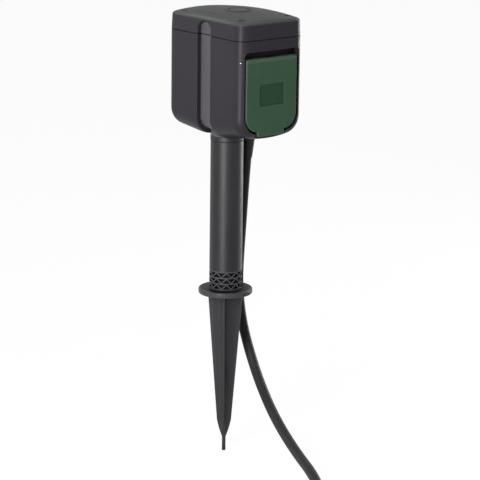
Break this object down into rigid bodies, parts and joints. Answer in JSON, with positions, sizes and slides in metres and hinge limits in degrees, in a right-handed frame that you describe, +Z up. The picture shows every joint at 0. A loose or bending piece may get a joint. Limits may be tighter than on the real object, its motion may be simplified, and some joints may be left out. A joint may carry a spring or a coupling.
{
  "type": "garden socket spike",
  "caption": "Garden socket spike: two-sided lidded outlet head with a push button, on a pole with a lattice collar, a flange and a ribbed ground spike, with its supply lead.",
  "frame": {"origin": "centre of the flange's underside, where it meets the ground", "axes": "+Z up along the pole, -Y towards the front outlet, +X towards the lead's gland"},
  "size_m": [0.1023, 0.3741, 0.4],
  "materials": {
    "housing_plastic": "satin moulded",
    "pole_plastic": "satin extruded",
    "spike_plastic": "moulded, fine texture",
    "lid_plastic": "satin moulded",
    "insert_plastic": "moulded",
    "button_plastic": "satin moulded",
    "soft_rubber": "matt",
    "cord_rubber": "satin",
    "plug_rubber": "satin moulded",
    "steel": "bright zinc",
    "contact_metal": "bright",
    "pin_metal": "nickel plated",
    "board_laminate": "satin",
    "relay_plastic": "satin",
    "module_can": "tinned",
    "terminal_plastic": "satin",
    "switch_plastic": "satin",
    "lens_plastic": "clear, smoked"
  },
  "bodies": {
    "spike_and_head": {"ground_spike": "spike_plastic", "lattice_collar": "pole_plastic", "pole_tube": "pole_plastic", "neck_sleeve": "pole_plastic", "neck_nut": "insert_plastic", "head_housing": "housing_plastic", "cover_gasket": "soft_rubber", "top_cover": "housing_plastic", "cover_screws": "steel", "status_lenses": "lens_plastic", "button_spring": "steel", "push_switch": "switch_plastic", "circuit_board": "board_laminate", "relays": "relay_plastic", "radio_module": "module_can", "terminal_block": "terminal_plastic", "cable_gland": "insert_plastic", "gland_locknut": "insert_plastic", "gland_relief": "cord_rubber", "power_cord": "cord_rubber", "cord_coil": "cord_rubber", "cord_tail": "cord_rubber", "coil_tie": "soft_rubber", "plug_body": "plug_rubber", "plug_relief": "plug_rubber", "plug_pins": "pin_metal", "plug_earth_strips": "pin_metal", "front_socket_insert": "insert_plastic", "front_earth_clips": "pin_metal", "front_contact_carrier": "insert_plastic", "front_contact_sleeves": "contact_metal", "front_hinge_pin": "steel", "front_lid_spring": "steel", "rear_socket_insert": "insert_plastic", "rear_earth_clips": "pin_metal", "rear_contact_carrier": "insert_plastic", "rear_contact_sleeves": "contact_metal", "rear_hinge_pin": "steel", "rear_lid_spring": "steel"},
    "front_lid": {"front_lid": "lid_plastic", "front_lid_seal": "soft_rubber"},
    "rear_lid": {"rear_lid": "lid_plastic", "rear_lid_seal": "soft_rubber"},
    "power_button": {"power_button": "button_plastic"},
    "front_shutter": {"front_shutter": "insert_plastic"},
    "rear_shutter": {"rear_shutter": "insert_plastic"}
  },
  "joints": [
    {"name": "front_lid_hinge", "type": "hinge", "parent": "spike_and_head", "child": "front_lid", "pos_m": [0.008, -0.0472, 0.215], "axis": [-1, 0, 0], "range_deg": [0, 105], "stiffness_Nm_per_rad": 0.02, "springref_deg": -28.65},
    {"name": "rear_lid_hinge", "type": "hinge", "parent": "spike_and_head", "child": "rear_lid", "pos_m": [0.008, 0.0472, 0.215], "axis": [1, 0, 0], "range_deg": [0, 105], "stiffness_Nm_per_rad": 0.02, "springref_deg": -28.65},
    {"name": "power_button_press", "type": "slide", "parent": "spike_and_head", "child": "power_button", "axis": [0, 0, -1], "range_m": [0, 0.0015], "stiffness_N_per_m": 800, "springref_m": -0.001, "deforming": ["button_spring"]},
    {"name": "front_shutter_turn", "type": "hinge", "parent": "spike_and_head", "child": "front_shutter", "pos_m": [0.008, -0.025, 0.185], "axis": [0, 1, 0], "range_deg": [0, 22], "stiffness_Nm_per_rad": 0.002, "springref_deg": -11.46},
    {"name": "rear_shutter_turn", "type": "hinge", "parent": "spike_and_head", "child": "rear_shutter", "pos_m": [0.008, 0.025, 0.185], "axis": [0, -1, 0], "range_deg": [0, 22], "stiffness_Nm_per_rad": 0.002, "springref_deg": -11.46}
  ]
}
